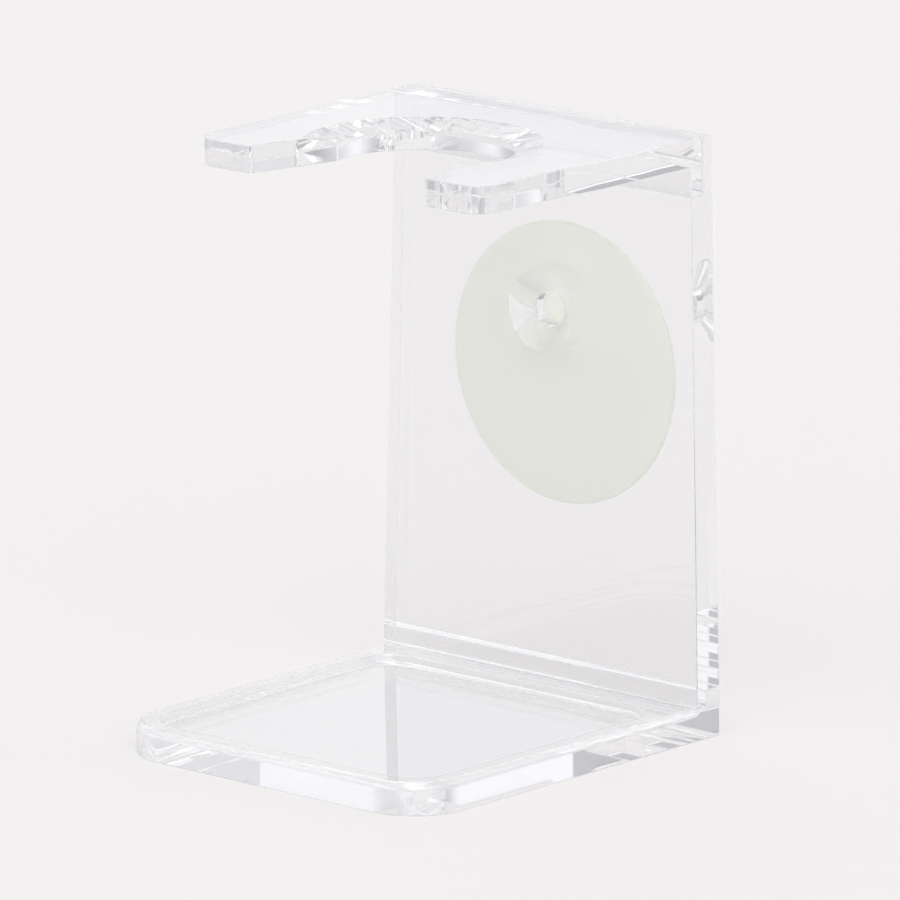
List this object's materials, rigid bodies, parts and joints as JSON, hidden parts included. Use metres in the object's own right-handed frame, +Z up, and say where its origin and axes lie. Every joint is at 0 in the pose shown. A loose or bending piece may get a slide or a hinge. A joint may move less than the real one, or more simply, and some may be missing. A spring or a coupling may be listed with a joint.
{
  "type": "shaving brush drip stand",
  "caption": "Clear moulded drip stand: shallow tray base, upright back panel, open-fronted ring cradle at the top and a soft suction cup that turns behind the panel.",
  "frame": {"origin": "centre of the base's underside, on the surface the stand rests on", "axes": "+Z up, +X to the stand's right seen from the open front, +Y from the open front towards the back panel"},
  "size_m": [0.065, 0.0734, 0.095],
  "materials": {
    "clear_styrene": "clear injection-moulded crystal polystyrene, polished tool",
    "cup_pvc": "translucent soft PVC, faintly green"
  },
  "bodies": {
    "stand": {"base_tray": "clear_styrene", "back_panel": "clear_styrene", "brush_yoke": "clear_styrene"},
    "cup": {"suction_cup": "cup_pvc"}
  },
  "joints": [
    {"name": "cup_swivel", "type": "hinge", "parent": "stand", "child": "cup", "pos_m": [0, 0.0349, 0.0637], "axis": [0, 1, 0], "continuous": true}
  ]
}
